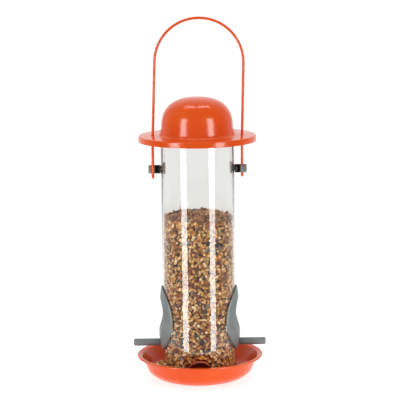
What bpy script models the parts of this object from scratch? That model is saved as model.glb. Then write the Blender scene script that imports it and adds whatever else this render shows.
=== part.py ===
"""Hanging tube bird feeder: a clear tube of seed between a steel tray and a steel lid that slides
up a wire bail. Millimetres in the sizes below, metres in the model; +Z up, the tray's foot ring
stands on z = 0, the feeding ports face +X and -X, and the front faces -Y."""

from math import asin, cos, degrees, hypot, pi, radians, sin, sqrt, tan

import bmesh
import bpy
from mathutils import Matrix, Vector

MM = 0.001

# ---- driving dimensions, in millimetres -------------------------------------------------------
GAP = 0.3                     # between faces that touch on the real feeder
RUNNING_CLEARANCE = 0.5       # around a part that passes through a hole

# tray: one steel pressing
SHEET = 0.8
TRAY_RADIUS = 60.4
TRAY_HEIGHT = 23.0
TRAY_LIP_WIDTH = 4.6           # from the wall's top out to the rim
TRAY_CORNER_RADIUS = 21.0
TRAY_WALL_ANGLE = 54.0
FOOT_RING_INSET = 3.3          # of the ring's inner edge from the tube's outside
FOOT_RING_WIDTH = 1.8
TRAY_FLOOR = 3.0              # top of the raised floor inside the foot ring
CONE_RADIUS = 21.0
CONE_HEIGHT = 10.0            # above the raised floor
LIP_DROP = 1.6

# tube
TUBE_RADIUS = 35.0
TUBE_WALL = 1.2
TUBE_TOP = 233.8
ARCH_RADIUS = 15.5
ARCH_TOP = 22.2

# lid: one steel pressing
BRIM_RADIUS = 55.8
SKIRT_HEIGHT = 5.6
BRIM_EDGE_RADIUS = 1.3
CROWN_OVER_TUBE = 0.4          # of the crown's foot beyond the tube's outside
CROWN_TAPER = 1.4              # from the crown's foot in to its shoulder
CROWN_SHOULDER_HEIGHT = 7.5   # above the brim's top
CROWN_HEIGHT = 36.2           # above the brim's top
CROWN_FULLNESS = 2.45         # 2 is an ellipse, more is squarer
CROWN_FILLET = 4.0
LID_SEAT_GAP = 0.8            # the play that lets the bail rock with the lid on
WIRE_HOLE_RADIUS = 2.3

# bail handle and its clips
WIRE_RADIUS = 1.25
LEG_FROM_TUBE = 7.4            # of a leg's middle from the tube's outside
BAIL_LEAN = 1.9               # degrees the legs lean towards +X above the lid
BAIL_CLOSING = 0.4            # degrees each leg leans in
BAIL_BEND_DROP = 4.8           # of the lean's start below the tube's top
BAIL_SPRING_RISE = 32.4        # of the arch's start above the crown's top
CLIP_DROP = 30.8               # of the clips' axis below the tube's top
CLIP_RADIUS = 4.1
CLIP_LENGTH = 11.4
CLIP_POCKET_LENGTH = 3.8
CLIP_POCKET_START = 1.2
CLIP_WEB = 1.8
CLIP_NECK_RADIUS = 2.9
CLIP_FLANGE_RADIUS = 5.6
CLIP_FLANGE = 2.0
HOOK_TIP_HEIGHT = 8.0         # of the wire's end above the clip's axis

# feeding ports
PORT_HEIGHT = 63.5            # of the feeding hole's centre
PORT_HOLE_RADIUS = 14.5
COLLAR_WALL = 1.2
COLLAR_DEPTH = 7.0            # from the tube's outside inwards
SHIELD_HEIGHT = 58.6          # of the shield's centre
SHIELD_HALF_WIDTH = 24.5
SHIELD_HALF_HEIGHT = 31.2
SHIELD_EDGE = 1.0
SHIELD_BULGE = 2.3
SHIELD_BULGE_SLOPE = 0.03     # more bulge lower down
BAFFLE_PLATE = 1.3
BAFFLE_HALF_WIDTH = 19.0
BAFFLE_HALF_HEIGHT = 27.0
BAFFLE_HEIGHT = 54.5          # of the plate's centre
HOOD_WALL = 1.2
HOOD_REACH = 12.0             # of the hood inwards from the collar's end
HOOD_DROP = 5.0               # of the hood's lower edge below the feeding hole's centre
BOSS_RADIUS = 5.0
BOSS_LENGTH = 6.0
PERCH_RADIUS = 3.5
PERCH_HEIGHT = 34.3
PERCH_REACH = 63.7            # of its tip from the tube's axis
PERCH_CHAMFER = 1.1
SPIGOT_RADIUS = 2.4
SPIGOT_LENGTH = 9.6

# brackets and their screws
BRACKET_WIDTH = 10.0
BRACKET_STRIP = 1.2
BRACKET_HEIGHT = 15.0
BRACKET_LENGTH = 9.5
SCREW_RADIUS = 1.5
SCREW_LENGTH = 7.0
HEAD_RADIUS = 2.75
HEAD_HEIGHT = 1.4
NUT_ACROSS_FLATS = 5.5
NUT_HEIGHT = 2.4
TUBE_SCREW_HEIGHT = 10.8

# seed
SEED_BELOW_CLIPS = 45.5        # of the seed's edge below the clips' axis
SEED_CROWN = 1.5
SEED_BOTTOM = 9.0
SEED_ROOM = 1.0                # round the baffles and brackets
SPILL_START = 188.0           # degrees about the tube, 180 is the -X side and 270 the front
SPILL_END = 262.0
SPILL_HEIGHT = 9.5

TURN_STEPS = 40

# ---- sizes worked out from those above --------------------------------------------------------
TRAY_WALL_TOP_RADIUS = TRAY_RADIUS - TRAY_LIP_WIDTH
FOOT_RING_INNER = TUBE_RADIUS - FOOT_RING_INSET
FOOT_RING_OUTER = FOOT_RING_INNER + FOOT_RING_WIDTH
CORNER_ROOM = (TRAY_WALL_TOP_RADIUS - FOOT_RING_OUTER) / sin(radians(TRAY_WALL_ANGLE))
TRAY_CORNER = min(TRAY_CORNER_RADIUS, 0.9 * CORNER_ROOM)
TUBE_BORE = TUBE_RADIUS - TUBE_WALL
BRIM_TOP = TUBE_TOP + LID_SEAT_GAP + SHEET
CROWN_BASE_RADIUS = TUBE_RADIUS + CROWN_OVER_TUBE
CROWN_SHOULDER_RADIUS = CROWN_BASE_RADIUS - CROWN_TAPER
CLIP_HEIGHT = TUBE_TOP - CLIP_DROP
SEED_TOP = CLIP_HEIGHT - SEED_BELOW_CLIPS
BAIL_HALF_SPAN = TUBE_RADIUS + LEG_FROM_TUBE
BAIL_BEND_HEIGHT = TUBE_TOP - BAIL_BEND_DROP
BAIL_SPRING_HEIGHT = BRIM_TOP + CROWN_HEIGHT + BAIL_SPRING_RISE
CLIP_START = TUBE_RADIUS + GAP
CLIP_END = CLIP_START + CLIP_LENGTH
COLLAR_RADIUS = PORT_HOLE_RADIUS + COLLAR_WALL
TUBE_PORT_RADIUS = COLLAR_RADIUS + RUNNING_CLEARANCE
SCREW_HOLE_RADIUS = SCREW_RADIUS + GAP
SIDES = {"left": -1, "right": 1}


# ---- scene and materials ----------------------------------------------------------------------
for old in list(bpy.data.objects):
    bpy.data.objects.remove(old, do_unlink=True)


def material(name, colour, roughness, metallic=0.0, alpha=1.0):
    made = bpy.data.materials.new(name)
    made.use_nodes = True
    shader = made.node_tree.nodes["Principled BSDF"]
    shader.inputs["Base Color"].default_value = (*colour, 1.0)
    shader.inputs["Roughness"].default_value = roughness
    shader.inputs["Metallic"].default_value = metallic
    shader.inputs["Alpha"].default_value = alpha
    return made


ORANGE_PAINT = material("orange_paint", (0.80, 0.09, 0.01), 0.25)
CLEAR_PLASTIC = material("clear_plastic", (0.85, 0.86, 0.85), 0.08, alpha=0.35)
GREY_PLASTIC = material("grey_plastic", (0.20, 0.22, 0.22), 0.45)
PLATED_STEEL = material("plated_steel", (0.55, 0.55, 0.53), 0.35, metallic=1.0)
MIXED_SEED = material("mixed_seed", (0.42, 0.26, 0.12), 0.80)


# ---- modelling helpers ------------------------------------------------------------------------
def add_object(name, mesh_data, paint, smooth_angle=35.0):
    """Put a finished bmesh in the scene as a named object, with its faces turned outwards."""
    bmesh.ops.remove_doubles(mesh_data, verts=mesh_data.verts, dist=0.01 * MM)
    bmesh.ops.recalc_face_normals(mesh_data, faces=mesh_data.faces)
    mesh = bpy.data.meshes.new(name)
    mesh_data.to_mesh(mesh)
    mesh_data.free()
    mesh.shade_smooth()
    mesh.set_sharp_from_angle(angle=radians(smooth_angle))
    made = bpy.data.objects.new(name, mesh)
    bpy.context.collection.objects.link(made)
    made.data.materials.append(paint)
    return made


def cutter(name, mesh_data):
    made = add_object(name, mesh_data, CLEAR_PLASTIC)
    made.hide_render = True
    made.display_type = "WIRE"
    return made


def boolean(target, tool, operation="DIFFERENCE"):
    step = target.modifiers.new(tool.name, "BOOLEAN")
    step.operation = operation
    step.solver = "EXACT"
    step.object = tool


def arc(centre_r, centre_z, radius, start, end, steps):
    """Points in the (r, z) half-plane along an arc, its angles in degrees."""
    angles = [radians(start + (end - start) * i / steps) for i in range(steps + 1)]
    return [(centre_r + radius * cos(a), centre_z + radius * sin(a)) for a in angles]


def turned(profile, steps=TURN_STEPS, start=0.0, sweep=360.0, closed=True):
    """A bmesh turned about Z from an (r, z) outline. A full turn may start and end on the axis."""
    made = bmesh.new()
    turn = Matrix.Rotation(radians(start), 3, "Z")
    verts = [made.verts.new(turn @ Vector((r * MM, 0, z * MM))) for r, z in profile]
    pairs = list(zip(verts, verts[1:]))
    if closed:
        pairs.append((verts[-1], verts[0]))
    edges = [made.edges.new(pair) for pair in pairs]
    if sweep < 360.0:
        made.faces.new(verts)
    bmesh.ops.spin(
        made, geom=(made.faces[:] or (verts + edges)), cent=(0, 0, 0), axis=(0, 0, 1),
        angle=radians(sweep), steps=steps, use_merge=sweep == 360.0,
    )
    return made


def rod(radius, start, end, steps=24, radius_end=None):
    """A closed cylinder or cone between two points in millimetres."""
    start, end = Vector(start) * MM, Vector(end) * MM
    along = end - start
    place = Matrix.Translation((start + end) / 2) @ along.to_track_quat("Z", "Y").to_matrix().to_4x4()
    made = bmesh.new()
    bmesh.ops.create_cone(
        made, cap_ends=True, segments=steps, radius1=radius * MM,
        radius2=(radius if radius_end is None else radius_end) * MM,
        depth=along.length, matrix=place,
    )
    return made


def block(low, high):
    """A box between two corners in millimetres."""
    low, high = Vector(low) * MM, Vector(high) * MM
    made = bmesh.new()
    place = Matrix.Translation((low + high) / 2) @ Matrix.Diagonal((*(high - low), 1.0))
    bmesh.ops.create_cube(made, size=1.0, matrix=place)
    return made


def extruded(outline, direction):
    """A flat outline of points in millimetres, extruded along a vector in millimetres."""
    made = bmesh.new()
    face = made.faces.new([made.verts.new(Vector(p) * MM) for p in outline])
    grown = bmesh.ops.extrude_face_region(made, geom=[face])
    moved = [item for item in grown["geom"] if isinstance(item, bmesh.types.BMVert)]
    bmesh.ops.translate(made, verts=moved, vec=Vector(direction) * MM)
    return made


# ---- tray -------------------------------------------------------------------------------------
def tray_side(offset):
    """The tray's underside from its foot ring to its lip, or its inside at that sheet offset."""
    corner = arc(
        FOOT_RING_OUTER, TRAY_CORNER, TRAY_CORNER - offset, -90, TRAY_WALL_ANGLE - 90, 4)
    lift = offset * cos(radians(TRAY_WALL_ANGLE)) / 2
    wall_top = (TRAY_WALL_TOP_RADIUS - offset / 2, TRAY_HEIGHT - SHEET + lift)
    return corner + [wall_top]


def make_tray():
    under_floor = TRAY_FLOOR - SHEET
    cone_steps = [0.0, 0.3, 0.6, 1.0]
    cone_top = [
        (CONE_RADIUS * t, TRAY_FLOOR + CONE_HEIGHT * (1 + cos(pi * t)) / 2) for t in cone_steps]
    cone_under = [(r, z - SHEET) for r, z in cone_top]
    under = cone_under + [(FOOT_RING_INNER - 2.0, under_floor), (FOOT_RING_INNER, 0.0)]
    under += tray_side(0.0)
    lip = [
        (TRAY_RADIUS - LIP_DROP, TRAY_HEIGHT - SHEET),
        (TRAY_RADIUS - SHEET, TRAY_HEIGHT - LIP_DROP),
        (TRAY_RADIUS, TRAY_HEIGHT - LIP_DROP),
        (TRAY_RADIUS - LIP_DROP / 3, TRAY_HEIGHT - LIP_DROP / 4),
        (TRAY_RADIUS - LIP_DROP, TRAY_HEIGHT),
        (TRAY_WALL_TOP_RADIUS + SHEET / 2, TRAY_HEIGHT),
    ]
    inside = [(FOOT_RING_INNER + SHEET, SHEET), (FOOT_RING_INNER - 1.4, TRAY_FLOOR)]
    over = list(reversed(tray_side(SHEET))) + inside + list(reversed(cone_top))
    tray = add_object("tray", turned(under + lip + over, closed=False), ORANGE_PAINT)
    for side, sign in SIDES.items():
        x = sign * tray_screw_reach()
        hole = rod(SCREW_HOLE_RADIUS, (x, 0, -1), (x, 0, TRAY_FLOOR + 1), steps=12)
        boolean(tray, cutter("tray_hole_" + side, hole))


def bracket_face():
    """The x of the bracket's flat face, which clears the round bore across its width."""
    return sqrt(TUBE_BORE ** 2 - (BRACKET_WIDTH / 2) ** 2) - GAP


def tray_screw_reach():
    return bracket_face() - BRACKET_STRIP - BRACKET_LENGTH / 2 - GAP


# ---- tube -------------------------------------------------------------------------------------
def make_tube():
    foot = TRAY_FLOOR + GAP
    shell = [(TUBE_BORE, foot), (TUBE_RADIUS, foot), (TUBE_RADIUS, TUBE_TOP), (TUBE_BORE, TUBE_TOP)]
    tube = add_object("tube", turned(shell, steps=48), CLEAR_PLASTIC)
    arch_centre = ARCH_TOP - ARCH_RADIUS
    through = TUBE_RADIUS + 5.0
    arch = rod(ARCH_RADIUS, (0, -through, arch_centre), (0, through, arch_centre), steps=32)
    boolean(tube, cutter("foot_arch", arch))
    for side, sign in SIDES.items():
        near, far = sign * TUBE_BORE / 2, sign * through
        cuts = {
            "port_cut": (TUBE_PORT_RADIUS, PORT_HEIGHT, 32),
            "clip_cut": (CLIP_NECK_RADIUS + GAP, CLIP_HEIGHT, 16),
            "spigot_cut": (SPIGOT_RADIUS + GAP, PERCH_HEIGHT, 16),
            "screw_cut": (SCREW_HOLE_RADIUS, TUBE_SCREW_HEIGHT, 12),
        }
        for name, (radius, height, steps) in cuts.items():
            hole = rod(radius, (near, 0, height), (far, 0, height), steps=steps)
            boolean(tube, cutter(name + "_" + side, hole))


# ---- lid --------------------------------------------------------------------------------------
def crown_profile(offset):
    """The lid's crown from the brim up to the axis; offset moves it in by the sheet."""
    foot = BRIM_TOP - offset
    base, shoulder = CROWN_BASE_RADIUS - offset, CROWN_SHOULDER_RADIUS - offset
    fillet = CROWN_FILLET + offset
    rise = BRIM_TOP + CROWN_SHOULDER_HEIGHT
    crown = BRIM_TOP + CROWN_HEIGHT - offset - rise
    points = arc(base + fillet, foot + fillet, fillet, -90, -180, 3)
    power = 2 / CROWN_FULLNESS
    for i in range(8):
        t = radians(90 * i / 7)
        points.append((shoulder * max(cos(t), 0.0) ** power, rise + crown * sin(t) ** power))
    points[-1] = (0.0, rise + crown)
    return points


def make_lid():
    edge = BRIM_RADIUS - BRIM_EDGE_RADIUS
    inner_edge = BRIM_EDGE_RADIUS - SHEET
    round_z = BRIM_TOP - BRIM_EDGE_RADIUS
    hem = BRIM_TOP - SKIRT_HEIGHT
    outside = [(BRIM_RADIUS, hem)] + arc(edge, round_z, BRIM_EDGE_RADIUS, 0, 90, 3)
    inside = arc(edge, round_z, inner_edge, 90, 0, 2) + [(BRIM_RADIUS - SHEET, hem)]
    profile = outside + crown_profile(0.0) + list(reversed(crown_profile(SHEET))) + inside
    ends_meet = profile.index((0.0, BRIM_TOP + CROWN_HEIGHT))
    opened = profile[ends_meet + 1:] + profile[:ends_meet + 1]
    lid = add_object("lid", turned(opened, closed=False), ORANGE_PAINT)
    for side, sign in SIDES.items():
        x = wire_x(sign, BRIM_TOP)
        hole = rod(WIRE_HOLE_RADIUS, (x, 0, BRIM_TOP - 2), (x, 0, BRIM_TOP + 1), steps=16)
        boolean(lid, cutter("wire_hole_" + side, hole))


# ---- bail handle ------------------------------------------------------------------------------
def wire_x(sign, height):
    """Where a leg of the bail is at a height: upright through the clip and the lid, leaning above."""
    above = max(0.0, min(height, BAIL_SPRING_HEIGHT) - BAIL_BEND_HEIGHT)
    return sign * (BAIL_HALF_SPAN - above * tan(radians(BAIL_CLOSING))) + above * tan(radians(BAIL_LEAN))


def leg_points(sign):
    """A leg from its hooked tip, round under the clip and up to the arch."""
    turn = (CLIP_RADIUS + GAP + WIRE_RADIUS) / 2
    low = CLIP_HEIGHT - CLIP_RADIUS - GAP - WIRE_RADIUS + turn * 0.4
    back = sign * turn
    x = wire_x(sign, CLIP_HEIGHT)
    points = [(x, 2 * back, CLIP_HEIGHT + HOOK_TIP_HEIGHT), (x, 2 * back, CLIP_HEIGHT)]
    points += [
        (x, back + back * cos(a), low - turn * sin(a)) for a in (radians(180 * i / 6) for i in range(7))]
    heights = [CLIP_HEIGHT, BAIL_BEND_HEIGHT - 6, BAIL_BEND_HEIGHT, BAIL_BEND_HEIGHT + 6]
    heights += [BAIL_BEND_HEIGHT + 40, BAIL_SPRING_HEIGHT - 6]
    return points + [(wire_x(sign, z), 0.0, z) for z in heights]


def make_handle():
    left, right = wire_x(-1, BAIL_SPRING_HEIGHT), wire_x(1, BAIL_SPRING_HEIGHT)
    centre, radius = (left + right) / 2, (right - left) / 2
    steps = 20
    arch = [
        (centre - radius * cos(pi * i / steps), 0.0, BAIL_SPRING_HEIGHT + radius * sin(pi * i / steps))
        for i in range(steps + 1)]
    route = leg_points(-1) + arch + list(reversed(leg_points(1)))
    curve = bpy.data.curves.new("handle", "CURVE")
    curve.dimensions = "3D"
    curve.bevel_depth = WIRE_RADIUS * MM
    curve.bevel_resolution = 2
    curve.use_fill_caps = True
    spline = curve.splines.new("POLY")
    spline.points.add(len(route) - 1)
    pivot = Vector((0, 0, CLIP_HEIGHT)) * MM
    for point, place in zip(spline.points, route):
        point.co = (*(Vector(place) * MM - pivot), 1.0)
    handle = bpy.data.objects.new("handle", curve)
    handle.location = pivot
    bpy.context.collection.objects.link(handle)
    curve.materials.append(ORANGE_PAINT)


def make_clip(side, sign):
    """A round barrel with a pocket each side of a web, a hole for the wire, and a flange inside."""
    height = CLIP_HEIGHT
    axis_points = [
        (CLIP_FLANGE_RADIUS, sqrt(TUBE_BORE ** 2 - CLIP_FLANGE_RADIUS ** 2) - GAP - CLIP_FLANGE),
        (CLIP_FLANGE_RADIUS, sqrt(TUBE_BORE ** 2 - CLIP_FLANGE_RADIUS ** 2) - GAP),
        (CLIP_NECK_RADIUS, sqrt(TUBE_BORE ** 2 - CLIP_FLANGE_RADIUS ** 2) - GAP),
        (CLIP_NECK_RADIUS, CLIP_START),
        (CLIP_RADIUS, CLIP_START),
        (CLIP_RADIUS, CLIP_END - 0.8),
        (CLIP_RADIUS - 0.8, CLIP_END),
    ]
    profile = [(0.0, axis_points[0][1])] + axis_points + [(0.0, CLIP_END)]
    body = turned(profile, steps=18, closed=False)
    lay = Matrix.Translation((0, 0, height * MM)) @ Matrix.Rotation(radians(90 * sign), 4, "Y")
    bmesh.ops.transform(body, matrix=lay, verts=body.verts)
    clip = add_object("clip_" + side, body, GREY_PLASTIC)
    start = CLIP_START + CLIP_POCKET_START
    for face, toward in (("front", -1), ("back", 1)):
        reach = sorted((sign * start, sign * (start + CLIP_POCKET_LENGTH)))
        depth = sorted((toward * CLIP_WEB / 2, toward * (CLIP_RADIUS + 1)))
        tall = CLIP_RADIUS - 1.0
        pocket = block((reach[0], depth[0], height - tall), (reach[1], depth[1], height + tall))
        boolean(clip, cutter(f"clip_pocket_{side}_{face}", pocket))
    x = wire_x(sign, height)
    hole = rod(WIRE_RADIUS + GAP, (x, 0, height - 9), (x, 0, height + 9), steps=16)
    boolean(clip, cutter("clip_wire_hole_" + side, hole))


# ---- feeding ports ----------------------------------------------------------------------------
def shield_radius(y, z):
    """The shield's outer face, as a distance from the tube's axis."""
    out = hypot(y / SHIELD_HALF_WIDTH, (z - SHIELD_HEIGHT) / SHIELD_HALF_HEIGHT)
    bulge = SHIELD_BULGE - SHIELD_BULGE_SLOPE * (z - SHIELD_HEIGHT)
    return TUBE_RADIUS + GAP + SHIELD_EDGE + bulge * (1 - min(out, 1.0) ** 4)


def shield_ring(angle):
    """One cross-section of the shield, from its feeding hole out to its edge and back inside."""
    across, up = cos(angle), sin(angle)
    hole = (PORT_HOLE_RADIUS * across, PORT_HEIGHT + PORT_HOLE_RADIUS * up)
    collar = (COLLAR_RADIUS * across, PORT_HEIGHT + COLLAR_RADIUS * up)
    edge = (SHIELD_HALF_WIDTH * across, SHIELD_HEIGHT + SHIELD_HALF_HEIGHT * up)
    seat = TUBE_RADIUS + GAP
    end = TUBE_RADIUS - COLLAR_DEPTH
    ring = [(end, *hole)]
    shares = [0.0, 0.12, 0.5, 0.85, 0.97]
    for share in shares:
        y = hole[0] + (edge[0] - hole[0]) * share
        z = hole[1] + (edge[1] - hole[1]) * share
        radius = shield_radius(y, z) - (0.5 if share == 0.0 else 0.0)
        ring.append((sqrt(radius ** 2 - y ** 2), y, z))
    middle = seat + SHIELD_EDGE / 2
    ring.append((sqrt(middle ** 2 - edge[0] ** 2), *edge))
    ring.append((sqrt(seat ** 2 - edge[0] ** 2), *edge))
    for share in (0.5,):
        y = collar[0] + (edge[0] - collar[0]) * share
        z = collar[1] + (edge[1] - collar[1]) * share
        ring.append((sqrt(seat ** 2 - y ** 2), y, z))
    ring.append((sqrt(seat ** 2 - collar[0] ** 2), *collar))
    ring.append((end, *collar))
    return ring


def make_shield(side, sign):
    """Cross-sections around the feeding hole, joined into one closed shell with its collar."""
    steps = 32
    body = bmesh.new()
    rings = []
    for i in range(steps):
        points = shield_ring(2 * pi * i / steps)
        rings.append([body.verts.new(Vector((sign * x, y, z)) * MM) for x, y, z in points])
    for near, far in zip(rings, rings[1:] + rings[:1]):
        for i in range(len(near)):
            j = (i + 1) % len(near)
            body.faces.new((near[i], near[j], far[j], far[i]))
    shield = add_object("port_shield_" + side, body, GREY_PLASTIC)
    hole = rod(
        SPIGOT_RADIUS + GAP, (sign * 20, 0, PERCH_HEIGHT), (sign * 50, 0, PERCH_HEIGHT), steps=16)
    boolean(shield, cutter("shield_spigot_hole_" + side, hole))


def hood_form(sign, radius, reach):
    """A round-nosed plug lying along X: a straight stretch at the collar, rounded towards the axis."""
    nose = [(radius * sin(radians(a)), -reach * cos(radians(a))) for a in range(0, 91, 15)]
    form = turned(nose + [(radius, 20.0), (0.0, 20.0)], steps=24, closed=False)
    lay = Matrix.Rotation(radians(90 * sign), 4, "Y")
    place = Matrix.Translation((sign * (TUBE_RADIUS - COLLAR_DEPTH) * MM, 0, PORT_HEIGHT * MM))
    bmesh.ops.transform(form, matrix=place @ lay, verts=form.verts)
    return form


def make_baffle(side, sign):
    """A plate inside the tube, a hood over the feeding hole, and a boss for the perch."""
    outer = TUBE_BORE - GAP
    plate_shell = [
        (outer - BAFFLE_PLATE, PERCH_HEIGHT - 20), (outer, PERCH_HEIGHT - 20),
        (outer, PORT_HEIGHT + 40), (outer - BAFFLE_PLATE, PORT_HEIGHT + 40)]
    half = degrees(asin(BAFFLE_HALF_WIDTH / outer)) + 6
    start = (0.0 if sign > 0 else 180.0) - half
    plate = add_object(
        "port_baffle_" + side, turned(plate_shell, steps=14, start=start, sweep=2 * half), GREY_PLASTIC)
    oval = rod(1.0, (sign * 10, 0, 0), (sign * 45, 0, 0), steps=32)
    stretch = Matrix.Translation((0, 0, BAFFLE_HEIGHT * MM)) @ Matrix.Diagonal(
        (1.0, BAFFLE_HALF_WIDTH, BAFFLE_HALF_HEIGHT, 1.0))
    bmesh.ops.transform(oval, matrix=stretch, verts=oval.verts)
    boolean(plate, cutter("baffle_outline_" + side, oval), "INTERSECT")

    # hood: a dome open below, hung from the plate over the feeding hole
    hood = cutter("hood_" + side, hood_form(sign, COLLAR_RADIUS + GAP + HOOD_WALL, HOOD_REACH))
    bore = rod(outer, (0, 0, PERCH_HEIGHT - 20), (0, 0, PORT_HEIGHT + 40), steps=56)
    boolean(hood, cutter("hood_in_bore_" + side, bore), "INTERSECT")
    low = PORT_HEIGHT - HOOD_DROP
    below = block((min(0, sign * 60), -30, 0), (max(0, sign * 60), 30, low))
    boolean(hood, cutter("hood_low_cut_" + side, below))
    boolean(plate, hood, "UNION")

    boss_start = outer - BAFFLE_PLATE / 2
    boss = rod(
        BOSS_RADIUS, (sign * boss_start, 0, PERCH_HEIGHT),
        (sign * (outer - BAFFLE_PLATE - BOSS_LENGTH), 0, PERCH_HEIGHT), steps=20)
    boolean(plate, cutter("boss_" + side, boss), "UNION")

    hollow = hood_form(sign, COLLAR_RADIUS + GAP, HOOD_REACH - HOOD_WALL)
    boolean(plate, cutter("hood_hollow_" + side, hollow))
    socket_end = TUBE_RADIUS - SPIGOT_LENGTH + 3.0
    socket = rod(
        SPIGOT_RADIUS + GAP, (sign * socket_end, 0, PERCH_HEIGHT), (sign * 45, 0, PERCH_HEIGHT), steps=16)
    boolean(plate, cutter("spigot_socket_" + side, socket))


def make_perch(side, sign):
    """A rod with a thin spigot that goes through the shield and tube into the baffle's boss."""
    shoulder = shield_radius(0.0, PERCH_HEIGHT) + GAP + 0.1
    spigot_end = TUBE_RADIUS - SPIGOT_LENGTH + 3.0 + GAP
    profile = [
        (0.0, spigot_end), (SPIGOT_RADIUS, spigot_end), (SPIGOT_RADIUS, shoulder),
        (PERCH_RADIUS, shoulder), (PERCH_RADIUS, PERCH_REACH - PERCH_CHAMFER),
        (PERCH_RADIUS - PERCH_CHAMFER, PERCH_REACH), (0.0, PERCH_REACH)]
    body = turned(profile, steps=20, closed=False)
    lay = Matrix.Translation((0, 0, PERCH_HEIGHT * MM)) @ Matrix.Rotation(radians(90 * sign), 4, "Y")
    bmesh.ops.transform(body, matrix=lay, verts=body.verts)
    add_object("perch_" + side, body, GREY_PLASTIC)


# ---- brackets and fasteners -------------------------------------------------------------------
def make_bracket(side, sign):
    face, foot = bracket_face(), TRAY_FLOOR + GAP
    corner = 1.5
    outline = [
        (face, foot + corner), (face, foot + BRACKET_HEIGHT),
        (face - BRACKET_STRIP, foot + BRACKET_HEIGHT), (face - BRACKET_STRIP, foot + BRACKET_STRIP),
        (face - BRACKET_STRIP - BRACKET_LENGTH, foot + BRACKET_STRIP),
        (face - BRACKET_STRIP - BRACKET_LENGTH, foot), (face - corner, foot)]
    points = [(sign * x, -BRACKET_WIDTH / 2, z) for x, z in outline]
    bracket = add_object(
        "bracket_" + side, extruded(points, (0, BRACKET_WIDTH, 0)), PLATED_STEEL)
    across = rod(
        SCREW_HOLE_RADIUS, (sign * (face - 4), 0, TUBE_SCREW_HEIGHT), (sign * (face + 2), 0, TUBE_SCREW_HEIGHT),
        steps=12)
    boolean(bracket, cutter("bracket_side_hole_" + side, across))
    x = sign * tray_screw_reach()
    down = rod(SCREW_HOLE_RADIUS, (x, 0, foot - 1), (x, 0, foot + 3), steps=12)
    boolean(bracket, cutter("bracket_foot_hole_" + side, down))


def make_screw(name, place):
    """A pan head screw: its shank runs along +Z from the underside of its head at the origin."""
    profile = [
        (0.0, -HEAD_HEIGHT), (HEAD_RADIUS * 0.7, -HEAD_HEIGHT), (HEAD_RADIUS, -HEAD_HEIGHT / 2),
        (HEAD_RADIUS, 0.0), (SCREW_RADIUS, 0.0), (SCREW_RADIUS, SCREW_LENGTH - 0.4),
        (SCREW_RADIUS - 0.4, SCREW_LENGTH), (0.0, SCREW_LENGTH)]
    body = turned(profile, steps=12, closed=False)
    bmesh.ops.transform(body, matrix=place, verts=body.verts)
    add_object(name, body, PLATED_STEEL)


def make_nut(name, place):
    """A hexagon nut whose seat face is at the origin, facing -Z."""
    hexagon = rod(NUT_ACROSS_FLATS / sqrt(3), (0, 0, 0), (0, 0, NUT_HEIGHT), steps=6)
    bmesh.ops.transform(hexagon, matrix=place, verts=hexagon.verts)
    nut = add_object(name, hexagon, PLATED_STEEL)
    bore = rod(SCREW_HOLE_RADIUS, (0, 0, -1), (0, 0, NUT_HEIGHT + 1), steps=12)
    bmesh.ops.transform(bore, matrix=place, verts=bore.verts)
    boolean(nut, cutter(name + "_bore", bore))


def make_fasteners(side, sign):
    inward = Matrix.Rotation(radians(-90 * sign), 4, "Y")
    height = Vector((0, 0, TUBE_SCREW_HEIGHT))
    head_seat = (TUBE_RADIUS + GAP) * sign
    nut_seat = (bracket_face() - BRACKET_STRIP - GAP) * sign
    make_screw("tube_screw_" + side, Matrix.Translation((Vector((head_seat, 0, 0)) + height) * MM) @ inward)
    make_nut("tube_nut_" + side, Matrix.Translation((Vector((nut_seat, 0, 0)) + height) * MM) @ inward)
    x = tray_screw_reach() * sign
    under = Vector((x, 0, TRAY_FLOOR - SHEET - GAP)) * MM
    over = Vector((x, 0, TRAY_FLOOR + GAP + BRACKET_STRIP + GAP)) * MM
    make_screw("tray_screw_" + side, Matrix.Translation(under))
    make_nut("tray_nut_" + side, Matrix.Translation(over))


# ---- seed -------------------------------------------------------------------------------------
def make_seed_fill():
    """The seed in the tube, with room cut out for the baffles, the brackets and the tray's cone."""
    radius = TUBE_BORE - GAP
    top = [(radius * t, SEED_TOP + SEED_CROWN * (1 - t ** 2)) for t in (1.0, 0.66, 0.33, 0.0)]
    profile = [(0.0, SEED_BOTTOM), (radius, SEED_BOTTOM)] + top
    fill = add_object("seed_fill", turned(profile, steps=40, closed=False), MIXED_SEED)
    cone = rod(CONE_RADIUS + 8, (0, 0, TRAY_FLOOR), (0, 0, TRAY_FLOOR + CONE_HEIGHT + 9), 24, 1.0)
    boolean(fill, cutter("cone_room", cone))
    centre = ARCH_TOP - ARCH_RADIUS
    tunnel = rod(ARCH_RADIUS + GAP, (0, -60, centre), (0, 60, centre), steps=24)
    boolean(fill, cutter("arch_room", tunnel))
    room = SEED_ROOM
    hood_reach = TUBE_RADIUS - COLLAR_DEPTH - HOOD_REACH - room
    for side, sign in SIDES.items():
        oval = rod(1.0, (sign * hood_reach, 0, 0), (sign * 45, 0, 0), steps=24)
        stretch = Matrix.Translation((0, 0, BAFFLE_HEIGHT * MM)) @ Matrix.Diagonal(
            (1.0, BAFFLE_HALF_WIDTH + room, BAFFLE_HALF_HEIGHT + room, 1.0))
        bmesh.ops.transform(oval, matrix=stretch, verts=oval.verts)
        boolean(fill, cutter("baffle_room_" + side, oval))
        hood = hood_form(sign, COLLAR_RADIUS + GAP + HOOD_WALL + room, HOOD_REACH + room)
        boolean(fill, cutter("hood_room_" + side, hood))
        reach = sorted((sign * (tray_screw_reach() - 8), sign * 45))
        width = BRACKET_WIDTH / 2 + room
        corner = block(
            (reach[0], -width, 0), (reach[1], width, TRAY_FLOOR + BRACKET_HEIGHT + 2 * room))
        boolean(fill, cutter("bracket_room_" + side, corner))


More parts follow.
